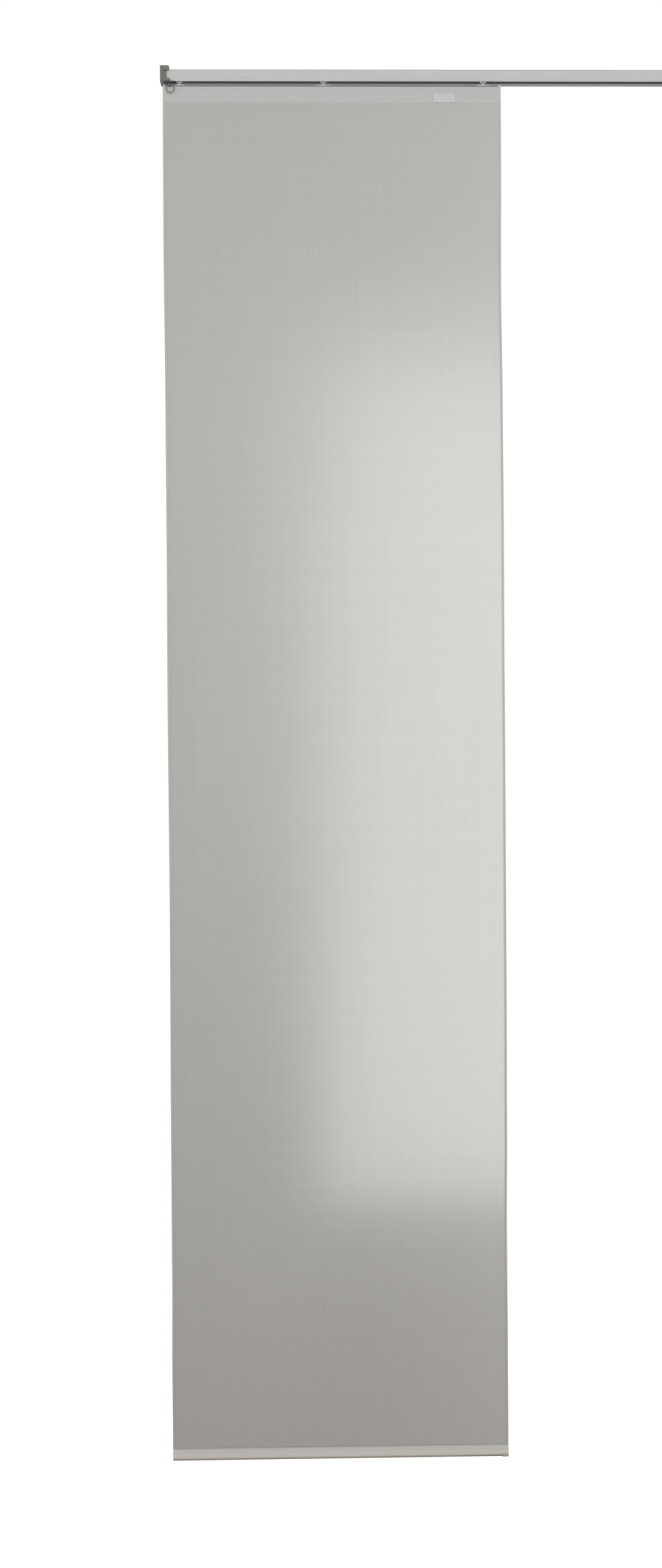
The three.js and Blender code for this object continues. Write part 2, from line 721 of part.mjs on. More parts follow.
piece(panelCurtain, 'rail', makeRail(), SILVER_COAT);

const railMiddle = (leftOuter + rightOuter) / 2;
const ends = { left: panelCurtain, right: mirrored(panelCurtain, railMiddle) };
for (const [side, group] of Object.entries(ends)) {
  piece(group, `bracket_${side}`, makeBracket(), ZINC);
  piece(group, `clamp_screw_${side}`, makeClampScrew(), STEEL);
  piece(group, `end_stop_${side}`, makeEndStop(), ZINC);
  piece(group, `stop_screw_${side}`, makeStopScrew(), STEEL);
  piece(group, `ring_${side}`, makeRing(), NICKEL);
}

const clothCentre = (clothLeft + clothRight) / 2;
const capEnds = { left: panelCurtain, right: mirrored(panelCurtain, clothCentre) };
for (const [side, group] of Object.entries(capEnds)) {
  piece(group, `carrier_cap_${side}`, makeCarrierCap(), NYLON);
}

piece(panelCurtain, 'carrier', makeCarrier(), ALUMINIUM);
const gliderPlaces = [
  clothLeft + GLIDER_LEFT_INSET,
  clothCentre + GLIDER_MIDDLE_SHIFT,
  clothRight - GLIDER_RIGHT_INSET,
];
gliderPlaces.forEach((x, i) => {
  piece(panelCurtain, `glider_${i + 1}`, makeGlider(), NYLON).position.x = x;
});
piece(panelCurtain, 'hook_tape', makeHookTape(), TAPE);
piece(panelCurtain, 'loop_tape', makeLoopTape(), TAPE);
piece(panelCurtain, 'cloth', makeCloth(), CLOTH);
piece(panelCurtain, 'care_label', makeLabel(), LABEL);
piece(panelCurtain, 'weight_bar', makeWeightBar(), ALUMINIUM);
piece(panelCurtain, 'bar_clip', makeBarClip(), CLEAR_GREY);

export default panelCurtain;
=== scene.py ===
"""Sliding panel curtain: a flat cloth panel on a carrier strip, under a slotted ceiling rail."""
import math

import bmesh
import bpy
from mathutils import Matrix, Vector


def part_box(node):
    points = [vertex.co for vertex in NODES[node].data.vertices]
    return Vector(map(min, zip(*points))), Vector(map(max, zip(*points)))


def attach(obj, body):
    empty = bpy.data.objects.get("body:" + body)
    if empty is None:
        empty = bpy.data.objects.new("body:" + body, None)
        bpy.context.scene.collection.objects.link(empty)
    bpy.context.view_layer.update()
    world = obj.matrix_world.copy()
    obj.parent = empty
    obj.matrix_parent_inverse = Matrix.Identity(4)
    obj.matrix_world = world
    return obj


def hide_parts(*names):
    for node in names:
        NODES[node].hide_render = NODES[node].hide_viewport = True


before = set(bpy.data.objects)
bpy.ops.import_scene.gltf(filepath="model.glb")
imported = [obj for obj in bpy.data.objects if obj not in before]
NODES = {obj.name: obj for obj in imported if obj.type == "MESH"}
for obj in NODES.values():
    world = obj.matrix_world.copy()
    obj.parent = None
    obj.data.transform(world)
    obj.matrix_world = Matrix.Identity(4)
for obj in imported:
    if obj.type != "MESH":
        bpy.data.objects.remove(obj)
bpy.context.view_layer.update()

MM = 0.001
TURN = 2 * math.pi

# Cloth
CLOTH_LOW, CLOTH_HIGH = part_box("cloth")
PANEL_WIDTH = CLOTH_HIGH.x - CLOTH_LOW.x
CLOTH_DEPTH = (CLOTH_LOW.y + CLOTH_HIGH.y) / 2
FRONT = CLOTH_DEPTH - 0.3 * MM  # the hanging sheet's front face
FOLD_RADIUS = 0.5 * MM  # of the turned side edges
FOLD_LENGTH = math.pi * FOLD_RADIUS  # of cloth in one turn
SIDE_HEM = 4.0 * MM
BAND_HEIGHT = 21.5 * MM  # the tape behind the top edge and its seam reach down this far
WAVE = 0.9 * MM  # height that the panel's waves are a share of
ACROSS = PANEL_WIDTH - 2 * FOLD_RADIUS + FOLD_LENGTH  # from the middle of one turn to the other

# Bottom hem: a tunnel for the weight bar
SEAM_LEVEL = -2459.7 * MM
SHOULDER_LEVEL = -2465.6 * MM  # from the seam to here the tunnel opens
TUNNEL = (CLOTH_HIGH.y - CLOTH_LOW.y) / 2
ARC_LEVEL = CLOTH_LOW.z + TUNNEL  # below it the cloth turns round the bar
BACK_CLEARANCE = 0.35 * MM  # between the side hems and the tunnel's back layer
BACK_RISE = 2.2 * MM  # the back layer ends this far above the seam
SEAM_DOWN = CLOTH_HIGH.z - SEAM_LEVEL  # the seam, along the cloth from the top edge
BOTTOM_DOWN = SEAM_DOWN + 23.1 * MM  # the fold under the weight bar, measured the same way

# How finely the cloth is divided
COLUMNS = 48
STRAIGHT_ROWS = 150
EASE_ROWS = 6
SIDE_ROWS = 3
ARC_ROWS = 12

# How far each edge of the hanging panel strays from a plumb line: (share of the drop, mm)
LEFT_STRAY = [
    (0.0, 0.0), (0.05, -0.4), (0.12, -0.8), (0.22, 0.4), (0.35, 0.7), (0.43, 0.2),
    (0.6, 1.3), (0.75, 0.6), (0.87, 0.5), (0.93, -0.5), (1.0, 0.0),
]
RIGHT_STRAY = [
    (0.0, 0.0), (0.05, 0.0), (0.15, -1.2), (0.23, 0.5), (0.32, 1.2), (0.4, 1.0),
    (0.5, 1.4), (0.65, 1.5), (0.76, 0.8), (0.83, -0.6), (0.9, 0.0), (1.0, 0.0),
]

# Slow waves in the hanging panel: radians across its width and down its drop, start, height
WAVES = [(7.1, 2.3, 0.0, 0.6), (15.7, -4.1, 1.0, 0.25), (2.0, 9.0, 0.0, 0.35)]
STIFF_TOP = (0.02, 0.12)  # shares of the drop: flat down to the first, free after the second more
STIFF_FOOT = (0.985, 0.1)  # the same, up from the weight bar

# Sewing
SEAM_INSET = 3.1 * MM  # side seams, from the folded edge
SEAM_STOP = 2.0 * MM  # side seams start and end this far from the top edge and the bottom seam
TOP_ROW = 4.2 * MM
BAND_ROW = BAND_HEIGHT - 1.2 * MM
STITCH_PITCH = 2.6 * MM
STITCH_LENGTH = 2.0 * MM
THREAD_RADIUS = 0.16 * MM
UNEVENNESS = 0.12
STITCH_SEED = 7
PROUD = THREAD_RADIUS * 0.35  # a stitch's middle stands this far out of the front
BEHIND = -2 * FOLD_RADIUS - THREAD_RADIUS * 0.4  # and here on the back of a turned side hem

# Label
LABEL_LOW, LABEL_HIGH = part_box("care_label")
LABEL_LIFT = 0.9 * MM  # of its free lower corners
LABEL_RIPPLE = 0.12 * MM
LABEL_STAND = 0.12 * MM  # the front of its sewn edge, before the face against the cloth
RIBBON = 0.14 * MM
LABEL_COLUMNS, LABEL_ROWS = 40, 18

# Edges of the rigid pieces
SAME_PLACE = 1e-6
FLAT_ANGLE = 0.6  # faces nearer to one plane than this are made one
SHARP_ANGLE = 32
WIRE_ANGLE = 60
SOFT_ANGLE = 80
WIRE_TURNS, WIRE_SIDES = 64, 16

# Camera: where it stands, in metres, and how it is turned, in degrees
CAMERA_PLACE = Vector((0.2481, -2.5963, -1.2522))
CAMERA_YAW, CAMERA_PITCH, CAMERA_ROLL = 0.936, -0.479, -0.387
LENS = 33.34
SENSOR = 36.0
SEEN_FROM, SEEN_TO = 0.05, 60

# Stage
FLOOR_LEVEL = -2.72
FLOOR_LEFT, FLOOR_RIGHT, FLOOR_HALF_DEPTH = -1.8, 3.0, 1.7
FLOOR_GLOW = 0.95
STUDIO_LIGHT = 0.745


def link_object(name, data):
    made = bpy.data.objects.new(name, data)
    bpy.context.scene.collection.objects.link(made)
    return made


# Camera


def set_up_camera():
    yaw, pitch, roll = (math.radians(a) for a in (CAMERA_YAW, CAMERA_PITCH, CAMERA_ROLL))
    level = math.cos(pitch)
    ahead = Vector((math.sin(yaw) * level, math.cos(yaw) * level, math.sin(pitch)))
    right = Vector((math.cos(yaw), -math.sin(yaw), 0))
    up = right.cross(ahead)
    tilted_right = right * math.cos(roll) + up * math.sin(roll)
    tilted_up = up * math.cos(roll) - right * math.sin(roll)
    data = bpy.data.cameras.new("camera")
    data.lens = LENS
    data.sensor_width = SENSOR
    data.clip_start, data.clip_end = SEEN_FROM, SEEN_TO
    camera = link_object("camera", data)
    turn = Matrix((tilted_right, tilted_up, -ahead)).transposed().to_4x4()
    camera.matrix_world = Matrix.Translation(CAMERA_PLACE) @ turn
    bpy.context.scene.camera = camera


set_up_camera()


# Node trees


class Value:
    """A socket that holds one number, with Python's operators."""

    def __init__(self, graph, socket):
        self.graph, self.socket = graph, socket

    def maths(self, operation, *others):
        """A Math node on this value and the others, in the order of its sockets."""
        inputs = dict(zip(("Value", "Value_001", "Value_002"), (self, *others)))
        return self.graph.node("ShaderNodeMath", {"operation": operation}, inputs)["Value"]

    def __add__(self, other):
        return self.maths("ADD", other)

    def __sub__(self, other):
        return self.maths("SUBTRACT", other)

    def __rsub__(self, other):
        return self.maths("MULTIPLY_ADD", -1.0, other)

    def __mul__(self, other):
        return self.maths("MULTIPLY", other)

    __radd__ = __add__
    __rmul__ = __mul__

    def smaller(self, other):
        return self.maths("MINIMUM", other)

    def larger(self, other):
        return self.maths("MAXIMUM", other)

    def size(self):
        return self.maths("ABSOLUTE")

    def root(self):
        return self.maths("SQRT")

    def rows(self, pitch):
        """A sine with one wave for each pitch, from -1 to 1."""
        return (self * (TURN / pitch)).maths("SINE")

    def step(self, low, high):
        """0 at low, 1 at high, smooth between them and level beyond; low may be the larger one."""
        share = ((self - low) * (1 / (high - low))).larger(0.0).smaller(1.0)
        return share * share * (3.0 - share * 2.0)


class Graph:
    """A node tree that nodes are added to with one call each."""

    def __init__(self, tree):
        self.tree = tree

    def socket(self, sockets, key):
        """The socket with this identifier, or else with this name."""
        for socket in sockets:
            if socket.identifier == key:
                return socket
        return sockets[key]

    def node(self, kind, settings=None, inputs=None):
        """Adds a node: its settings first, then its inputs' values or links. Gives its outputs."""
        made = self.tree.nodes.new(kind)
        for name, setting in (settings or {}).items():
            setattr(made, name, setting)
        for key, value in (inputs or {}).items():
            target = self.socket(made.inputs, key)
            if isinstance(value, Value):
                value = value.socket
            if isinstance(value, bpy.types.NodeSocket):
                self.tree.links.new(value, target)
            else:
                target.default_value = value
        return Outputs(self, made)

    def mix(self, share, first, second):
        """A colour between two colours."""
        inputs = {"Factor_Float": share, "A_Color": first, "B_Color": second}
        return self.node("ShaderNodeMix", {"data_type": "RGBA"}, inputs).link("Result_Color")

    def mix_shaders(self, share, first, second):
        inputs = {"Fac": share, "Shader": first, "Shader_001": second}
        return self.node("ShaderNodeMixShader", None, inputs).link("Shader")


class Outputs:
    """A node's outputs: numbers by name, anything else through link()."""

    def __init__(self, graph, made):
        self.graph, self.made = graph, made

    def link(self, key):
        return self.graph.socket(self.made.outputs, key)

    def __getitem__(self, key):
        return Value(self.graph, self.link(key))


def tone(red, green, blue):
    return (red, green, blue, 1.0)


# The two tones, dark and pale, that each finish varies between
WHITE_TAPE = (tone(0.66, 0.655, 0.63), tone(0.8, 0.8, 0.775))
TONES = {
    "cloth_weave": (tone(0.51, 0.507, 0.498), tone(0.572, 0.57, 0.562)),
    "sewing_thread": (tone(0.5, 0.49, 0.475), tone(0.6, 0.595, 0.58)),
    "label_satin": (tone(0.635, 0.635, 0.632), tone(0.705, 0.705, 0.701)),
    "hook_tape": WHITE_TAPE,
    "loop_tape": WHITE_TAPE,
    "rail_coat": (tone(0.56, 0.565, 0.567), tone(0.62, 0.625, 0.627)),
    "bracket_zinc": (tone(0.15, 0.15, 0.138), tone(0.26, 0.26, 0.242)),
    "stop_zinc": (tone(0.06, 0.06, 0.056), tone(0.115, 0.115, 0.107)),
    "blackened_steel": (tone(0.045, 0.045, 0.046), tone(0.12, 0.12, 0.118)),
    "ring_nickel": (tone(0.15, 0.148, 0.135), tone(0.36, 0.355, 0.335)),
    "carrier_aluminium": (tone(0.17, 0.17, 0.166), tone(0.26, 0.26, 0.254)),
    "bar_aluminium": (tone(0.34, 0.34, 0.333), tone(0.46, 0.46, 0.45)),
    "white_nylon": (tone(0.68, 0.68, 0.65), tone(0.77, 0.77, 0.745)),
    "clip_plastic": (tone(0.58, 0.575, 0.53), tone(0.7, 0.695, 0.65)),
    "pale_floor": (tone(0.29, 0.22, 0.145), tone(0.32, 0.25, 0.17)),
}
WHITE = tone(1, 1, 1)


class Finish(Graph):
    """One material, built from its coordinates to its shader."""

    def __init__(self, name):
        self.name = name
        self.material = bpy.data.materials.new(name)
        self.material.use_nodes = True
        super().__init__(self.material.node_tree)
        self.tree.nodes.clear()

    def place(self, kind="Object"):
        """The surface's own coordinates in metres."""
        return self.node("ShaderNodeTexCoord").link(kind)

    def parts(self, vector):
        """A vector as three numbers."""
        parts = self.node("ShaderNodeSeparateXYZ", None, {"Vector": vector})
        return parts["X"], parts["Y"], parts["Z"]

    def noise(self, vector, fine, detail=2.0, rough=0.5):
        """Noise from 0 to 1 with about fine spots to the metre, all round or on each axis."""
        if not isinstance(fine, tuple):
            fine = (fine, fine, fine)
        settings, inputs = {"operation": "MULTIPLY"}, {"Vector": vector, "Vector_001": fine}
        finer = self.node("ShaderNodeVectorMath", settings, inputs).link("Vector")
        inputs = {"Vector": finer, "Scale": 1.0, "Detail": detail, "Roughness": rough}
        return self.node("ShaderNodeTexNoise", None, inputs)["Fac"]

    def shade(self, share):
        """A colour between the finish's own dark and pale tone."""
        return self.mix(share, *TONES[self.name])

    def bump(self, height, depth, strength=1.0):
        """A normal from a height that runs from 0 to 1, where 1 stands depth metres proud."""
        inputs = {"Height": height, "Distance": depth, "Strength": strength}
        return self.node("ShaderNodeBump", None, inputs).link("Normal")

    def shader(self, colour, rough, normal, **constants):
        """The main shader; constants are its plain sockets, with _ for each space."""
        inputs = {"Base Color": colour, "Roughness": rough, "Normal": normal}
        inputs.update({name.replace("_", " "): value for name, value in constants.items()})
        return self.node("ShaderNodeBsdfPrincipled", None, inputs).link("BSDF")

    def lets_light_through(self, front, share, colour, normal):
        """The shader in front, mixed with one that passes light on from behind."""
        inputs = {"Color": colour, "Normal": normal}
        through = self.node("ShaderNodeBsdfTranslucent", None, inputs).link("BSDF")
        return self.mix_shaders(share, front, through)

    def done(self, surface):
        self.node("ShaderNodeOutputMaterial", None, {"Surface": surface})
        return self.material


# Finishes

CLOTH_BACKED = tone(0.645, 0.643, 0.636)  # where a second layer lies behind, and painted light a little below the tape, over the shade that the tape casts
CLOTH_HEM = tone(0.9, 0.895, 0.88)  # three layers over the bright weight bar
CLOTH_FOLD_SHADE = tone(0.36, 0.325, 0.285)  # painted shade along the lowest edge, where the hem turns under the bar
SINGLE_LAYER = 0.4  # share of the light that one layer passes on
SECOND_LAYER = 0.27  # this much less through two
WEAVE_PITCH = 0.9 * MM
PUCKER_REACH = 6.0 * MM  # either side of a seam
SIDE_FADE = 0.4 * MM  # over which the tone changes at each kind of edge, either side of it
SEAM_FADE = 0.6 * MM
TAPE_FADE = 0.8 * MM
TAPE_SHADE = 11.0 * MM  # the tape keeps some light off the cloth this far below it, and the cloth there is painted lighter to make up for it: painted light
HEM_SHADE_FADE = 11.0 * MM  # the hem lightens from the seam down over this height; the darker tone by the seam is painted shade
FOLD_SHADE_REACH = (7.8 * MM, 3.4 * MM)  # painted shade, from the fold under the bar up either side of it

TWIST_PITCH = 0.6 * MM  # of the sewing thread
RIB_PITCH = 0.5 * MM  # of the label's ribbon
HOOK_PITCH = (1.4 * MM, 1.6 * MM)  # along the tape and up it
TURNED_PITCH = 0.5 * MM  # of the tool marks on the screws

# Heights on the rail and its brackets between which a painted shade fades in
TOP_EDGE_SHADE = (-8.8 * MM, -6.6 * MM)
CHANNEL_TOP = (-16.0 * MM, -16.5 * MM)
RAIL_UNDERSIDE = (-26.5 * MM, -26.9 * MM)
CASTING_FOOT = (-26.5 * MM, -28.5 * MM)
CHANNEL_SIDE = (9.8 * MM, 9.4 * MM)  # the same, out from the rail's centre plane
COAT_TOP_SHADE = tone(0.4, 0.4, 0.392)  # painted shade along the rail's top edge
COAT_UNDER_SHADE = tone(0.26, 0.26, 0.257)  # painted shade in the channel and on the rail's underside
CASTING_SHADE_AND_GRIME = tone(0.06, 0.06, 0.057)  # painted shade below the rail, with the grease and dust that gather there


def cloth_finish():
    """Fine plain weave with slubs, puckered at its seams; double layers pass less light. Painted
    light below the tape, painted shade by the hem's seam and along its bottom fold.
    """
    f = Finish("cloth_weave")
    flat = f.place("UV")
    across, down, _ = f.parts(flat)
    warp = f.noise(flat, (1400, 9, 1), 1.0)
    weft = f.noise(flat, (7, 1400, 1), 1.0)
    streaks = f.noise(flat, (160, 1.3, 1))
    bars = f.noise(flat, (1.1, 120, 1))
    clouds = f.noise(flat, (2.2, 1.3, 1))
    side_pucker = f.noise(flat, (30, 190, 1), 1.0) - 0.5
    band_pucker = f.noise(flat, (190, 30, 1), 1.0) - 0.5
    crossing = across.rows(WEAVE_PITCH) * down.rows(WEAVE_PITCH)
    threads = warp * 0.5 + weft * 0.5

    edge = across.smaller(PANEL_WIDTH - across)
    side_hem = edge.step(SIDE_HEM + SIDE_FADE, SIDE_HEM - SIDE_FADE)
    hem = down.step(SEAM_DOWN - SEAM_FADE, SEAM_DOWN + SEAM_FADE)
    taped_and_painted_light = down.step(BAND_HEIGHT + TAPE_SHADE, BAND_HEIGHT - TAPE_FADE)
    near_side = (edge - SEAM_INSET).size().step(PUCKER_REACH, 0.0)
    near_band = (down - BAND_HEIGHT).size().step(PUCKER_REACH, 0.0)
    from_fold = (down - BOTTOM_DOWN).size()

    colour = threads * 0.45 + streaks * 0.2 + bars * 0.2 + clouds * 0.35
    colour = f.shade(colour.step(0.25, 0.95))
    # painted light: the backed tone reaches a little below the tape, over the shade that the tape
    # casts
    colour = f.mix((side_hem * 0.5).larger(taped_and_painted_light).larger(hem), colour, CLOTH_BACKED)
    # painted shade: the hem is darker by its seam and lightens to its full tone below it
    colour = f.mix(down.step(SEAM_DOWN, SEAM_DOWN + HEM_SHADE_FADE), colour, CLOTH_HEM)
    # painted shade along the fold under the bar, where the hem turns away from the light
    fold_shade = from_fold.step(*FOLD_SHADE_REACH) * (0.6 + clouds * 0.5)
    colour = f.mix(fold_shade, colour, CLOTH_FOLD_SHADE)

    height = crossing * 0.02 + threads * 0.25 + streaks * 0.12 + bars * 0.12
    height = height + side_pucker * near_side * 1.6 + band_pucker * near_band * 1.0
    normal = f.bump(height, 0.4 * MM, 0.55)
    rough = threads * 0.12 + 0.76
    sheen = {"Sheen_Weight": 0.12, "Sheen_Roughness": 0.5}
    front = f.shader(colour, rough, normal, Specular_IOR_Level=0.3, **sheen)
    share = SINGLE_LAYER - side_hem.larger(taped_and_painted_light).larger(hem) * SECOND_LAYER
    return f.done(f.lets_light_through(front, share, colour, normal))


def thread_finish():
    f = Finish("sewing_thread")
    vector = f.place()
    x, _, z = f.parts(vector)
    twist = (x + z).rows(TWIST_PITCH) * 0.5 + 0.5
    colour = f.shade(twist * 0.5 + f.noise(vector, 300) * 0.5)
    normal = f.bump(twist, 0.06 * MM, 0.6)
    return f.done(f.shader(colour, 0.6 + twist * 0.15, normal, Sheen_Weight=0.1))


def label_finish():
    """Satin ribbon: fine shiny weft threads."""
    f = Finish("label_satin")
    vector = f.place()
    _, _, z = f.parts(vector)
    ribs = z.rows(RIB_PITCH) * 0.5 + 0.5
    floats = f.noise(vector, (200, 200, 2600), 1.0)
    colour = f.shade(ribs * 0.35 + floats * 0.65)
    normal = f.bump(ribs * 0.5 + floats * 0.5, 0.1 * MM, 0.4)
    front = f.shader(colour, floats * 0.2 + 0.36, normal, Sheen_Weight=0.2)
    return f.done(f.lets_light_through(front, 0.08, colour, normal))


def tape_finish(name, hooked):
    """Hook tape is a field of small stiff hooks in rows, loop tape a soft tangled pile."""
    f = Finish(name)
    vector = f.place()
    if hooked:
        x, _, z = f.parts(vector)
        height = (x.rows(HOOK_PITCH[0]) * z.rows(HOOK_PITCH[1])).step(0.1, 0.9)
    else:
        height = f.noise(vector, 1100, 4.0, 0.7)
    weave = f.noise(vector, (40, 40, 900), 1.0)
    colour = f.shade(height * 0.6 + weave * 0.4)
    normal = f.bump(height, 0.5 * MM, 0.8)
    sheen = 0.0 if hooked else 0.2
    return f.done(f.shader(colour, 0.85 - height * 0.2, normal, Sheen_Weight=sheen))


def coat_finish():
    """Pale grey satin coat with the faint lengthwise lines of the extrusion below it; painted
    shade darkens its top edge, its channel and its underside.
    """
    f = Finish("rail_coat")
    vector = f.place()
    _, y, z = f.parts(vector)
    lines = f.noise(vector, (2.5, 1500, 1500))
    broad = f.noise(vector, (1.2, 260, 260))
    grain = f.noise(vector, 1800)
    dust_and_shade_mottle = f.noise(vector, (14, 60, 60), 4.0, 0.65)
    colour = f.shade((lines * 0.35 + broad * 0.35 + dust_and_shade_mottle * 0.3).step(0.2, 0.85))
    # painted shade along the rail's top edge
    colour = f.mix(z.step(*TOP_EDGE_SHADE) * (0.4 + dust_and_shade_mottle * 0.5), colour, COAT_TOP_SHADE)
    # painted shade in the channel and on the rail's underside, where less light reaches
    inside = y.size().step(*CHANNEL_SIDE) * z.step(*CHANNEL_TOP)
    under = z.step(*RAIL_UNDERSIDE) * (0.75 + dust_and_shade_mottle * 0.4)
    colour = f.mix(inside.larger(under), colour, COAT_UNDER_SHADE)
    normal = f.bump(lines * 0.5 + grain * 0.5, 0.06 * MM, 0.35)
    rough = dust_and_shade_mottle * 0.16 + grain * 0.1 + 0.36
    coat = {"Coat_Weight": 0.15, "Coat_Roughness": 0.35}
    return f.done(f.shader(colour, rough, normal, Metallic=0.15, **coat))


def casting_finish(name, rough):
    """Matt zinc casting: fine pits, cloudy tone, rubbed a little brighter in patches; painted
    shade with grime darkens it below the rail.
    """
    f = Finish(name)
    vector = f.place()
    _, _, z = f.parts(vector)
    pits = f.noise(vector, 2400, 3.0, 0.6)
    clouds = f.noise(vector, 160, 4.0, 0.6)
    rubbed = f.noise(vector, 420, 3.0).step(0.58, 0.72)
    colour = f.shade(clouds * 0.6 + pits * 0.25 + rubbed * 0.15)
    # painted shade with grime on the casting's foot below the rail
    colour = f.mix(z.step(*CASTING_FOOT) * 0.75, colour, CASTING_SHADE_AND_GRIME)
    normal = f.bump(pits * 0.6 + clouds * 0.4, 0.12 * MM, 0.45)
    rough = rough + clouds * 0.18 - rubbed * 0.14
    return f.done(f.shader(colour, rough, normal, Metallic=0.12, Specular_IOR_Level=0.35))


def steel_finish():
    """Blackened steel with spots and fine turning marks."""
    f = Finish("blackened_steel")
    vector = f.place()
    x, y, _ = f.parts(vector)
    turned = (x * x + y * y).root().rows(TURNED_PITCH) * 0.5 + 0.5
    spots = f.noise(vector, 900, 3.0)
    colour = f.shade(spots * 0.7 + turned * 0.3)
    normal = f.bump(spots, 0.05 * MM, 0.4)
    return f.done(f.shader(colour, spots * 0.25 + 0.32, normal, Metallic=0.8))


def nickel_finish():
    """Nickel on drawn wire, dulled by a film and in specks."""
    f = Finish("ring_nickel")
    vector = f.place()
    specks = f.noise(vector, 1300, 3.0, 0.65)
    film = f.noise(vector, 220, 3.0)
    colour = f.shade(film * 0.6 + specks * 0.4)
    normal = f.bump(specks, 0.03 * MM, 0.3)
    return f.done(f.shader(colour, film * 0.18 + 0.16, normal, Metallic=1.0))


def mill_finish(name):
    """Bare extruded aluminium with drawn lines along the strip."""
    f = Finish(name)
    vector = f.place()
    lines = f.noise(vector, (4, 2600, 2600), 2.0, 0.6)
    haze = f.noise(vector, (18, 120, 120), 3.0, 0.6)
    colour = f.shade(lines * 0.6 + haze * 0.4)
    normal = f.bump(lines, 0.05 * MM, 0.5)
    return f.done(f.shader(colour, haze * 0.2 + 0.34, normal, Metallic=0.4))


def nylon_finish():
    """White moulded nylon, slightly waxy, with a fine grain from its mould."""
    f = Finish("white_nylon")
    vector = f.place()
    grain = f.noise(vector, 2200)
    flow = f.noise(vector, 120)
    colour = f.shade(flow * 0.8 + grain * 0.2)
    normal = f.bump(grain, 0.05 * MM, 0.4)
    wax = {"Subsurface_Weight": 0.1, "Subsurface_Scale": 1.0 * MM}
    return f.done(f.shader(colour, grain * 0.15 + 0.38, normal, **wax))


def clip_finish():
    """Grey-green half-clear plastic."""
    f = Finish("clip_plastic")
    vector = f.place()
    flow = f.noise(vector, 260)
    grain = f.noise(vector, 2000)
    colour = f.shade(flow)
    normal = f.bump(grain, 0.04 * MM, 0.3)
    front = f.shader(colour, grain * 0.12 + 0.24, normal, Coat_Weight=0.2)
    return f.done(f.lets_light_through(front, 0.25, colour, normal))


FINISHES = {
    "cloth": cloth_finish(),
    "label_satin": label_finish(),
    "rail_coat": coat_finish(),
    "zinc": casting_finish("bracket_zinc", 0.5),
    "stop_zinc": casting_finish("stop_zinc", 0.46),
    "screw_steel": steel_finish(),
    "ring_nickel": nickel_finish(),
    "carrier_aluminium": mill_finish("carrier_aluminium"),
    "bar_aluminium": mill_finish("bar_aluminium"),
    "nylon": nylon_finish(),
    "clip_plastic": clip_finish(),
}
THREAD = thread_finish()
HOOKS = tape_finish("hook_tape", True)
LOOPS = tape_finish("loop_tape", False)


# Pieces


def new_piece(name, mesh, body, finish, stands_for=()):
    piece = link_object(name, mesh)
    mesh.materials.clear()
    mesh.materials.append(finish)
    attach(piece, body)
    if stands_for:
        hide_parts(*stands_for)
    return piece


def smooth(mesh, angle):
    """Smooth shading, apart from edges sharper than the angle in degrees."""
    mesh.polygons.foreach_set("use_smooth", [True] * len(mesh.polygons))
    mesh.set_sharp_from_angle(angle=math.radians(angle))
    mesh.update()


def eased_copy(node, name, width, slot, body, finish=None):
    """The CAD node's shape with its edges broken, as a piece that stands for the node."""
    shape = bmesh.new()
    shape.from_mesh(NODES[node].data)
    bmesh.ops.remove_doubles(shape, verts=shape.verts, dist=SAME_PLACE)
    flat = math.radians(FLAT_ANGLE)
    bmesh.ops.dissolve_limit(shape, angle_limit=flat, verts=shape.verts, edges=shape.edges)
    bmesh.ops.recalc_face_normals(shape, faces=shape.faces)
    mesh = bpy.data.meshes.new(name)
    shape.to_mesh(mesh)
    shape.free()
    smooth(mesh, SHARP_ANGLE)
    piece = new_piece(name, mesh, body, finish or FINISHES[slot], (node,))
    ease = piece.modifiers.new("eased_edges", "BEVEL")
    ease.width = width
    ease.segments = 2
    ease.limit_method = "ANGLE"
    ease.angle_limit = math.radians(SHARP_ANGLE)
    ease.use_clamp_overlap = True
    ease.harden_normals = True
    return piece


eased_copy("rail", "rail_profile", 0.25 * MM, "rail_coat", "rail")
for side in ("left", "right"):
    eased_copy(f"bracket_{side}", f"end_bracket_{side}", 0.3 * MM, "zinc", "rail")
    eased_copy(f"end_stop_{side}", f"stop_block_{side}", 0.25 * MM, "stop_zinc", "rail")
    eased_copy(f"clamp_screw_{side}", f"clamp_grub_{side}", 0.12 * MM, "screw_steel", "rail")
    eased_copy(f"stop_screw_{side}", f"stop_grub_{side}", 0.12 * MM, "screw_steel", "rail")
    eased_copy(f"carrier_cap_{side}", f"strip_cap_{side}", 0.25 * MM, "nylon", "panel")
for number in (1, 2, 3):
    eased_copy(f"glider_{number}", f"hanger_{number}", 0.2 * MM, "nylon", "panel")
eased_copy("carrier", "carrier_strip", 0.15 * MM, "carrier_aluminium", "panel")
eased_copy("weight_bar", "hem_bar", 0.15 * MM, "bar_aluminium", "panel")
hook_strip = eased_copy("hook_tape", "hook_strip", 0.3 * MM, "tape", "panel", HOOKS)
loop_strip = eased_copy("loop_tape", "loop_strip", 0.3 * MM, "tape", "panel", LOOPS)
clip = eased_copy("bar_clip", "hem_clip", 0.2 * MM, "clip_plastic", "panel")


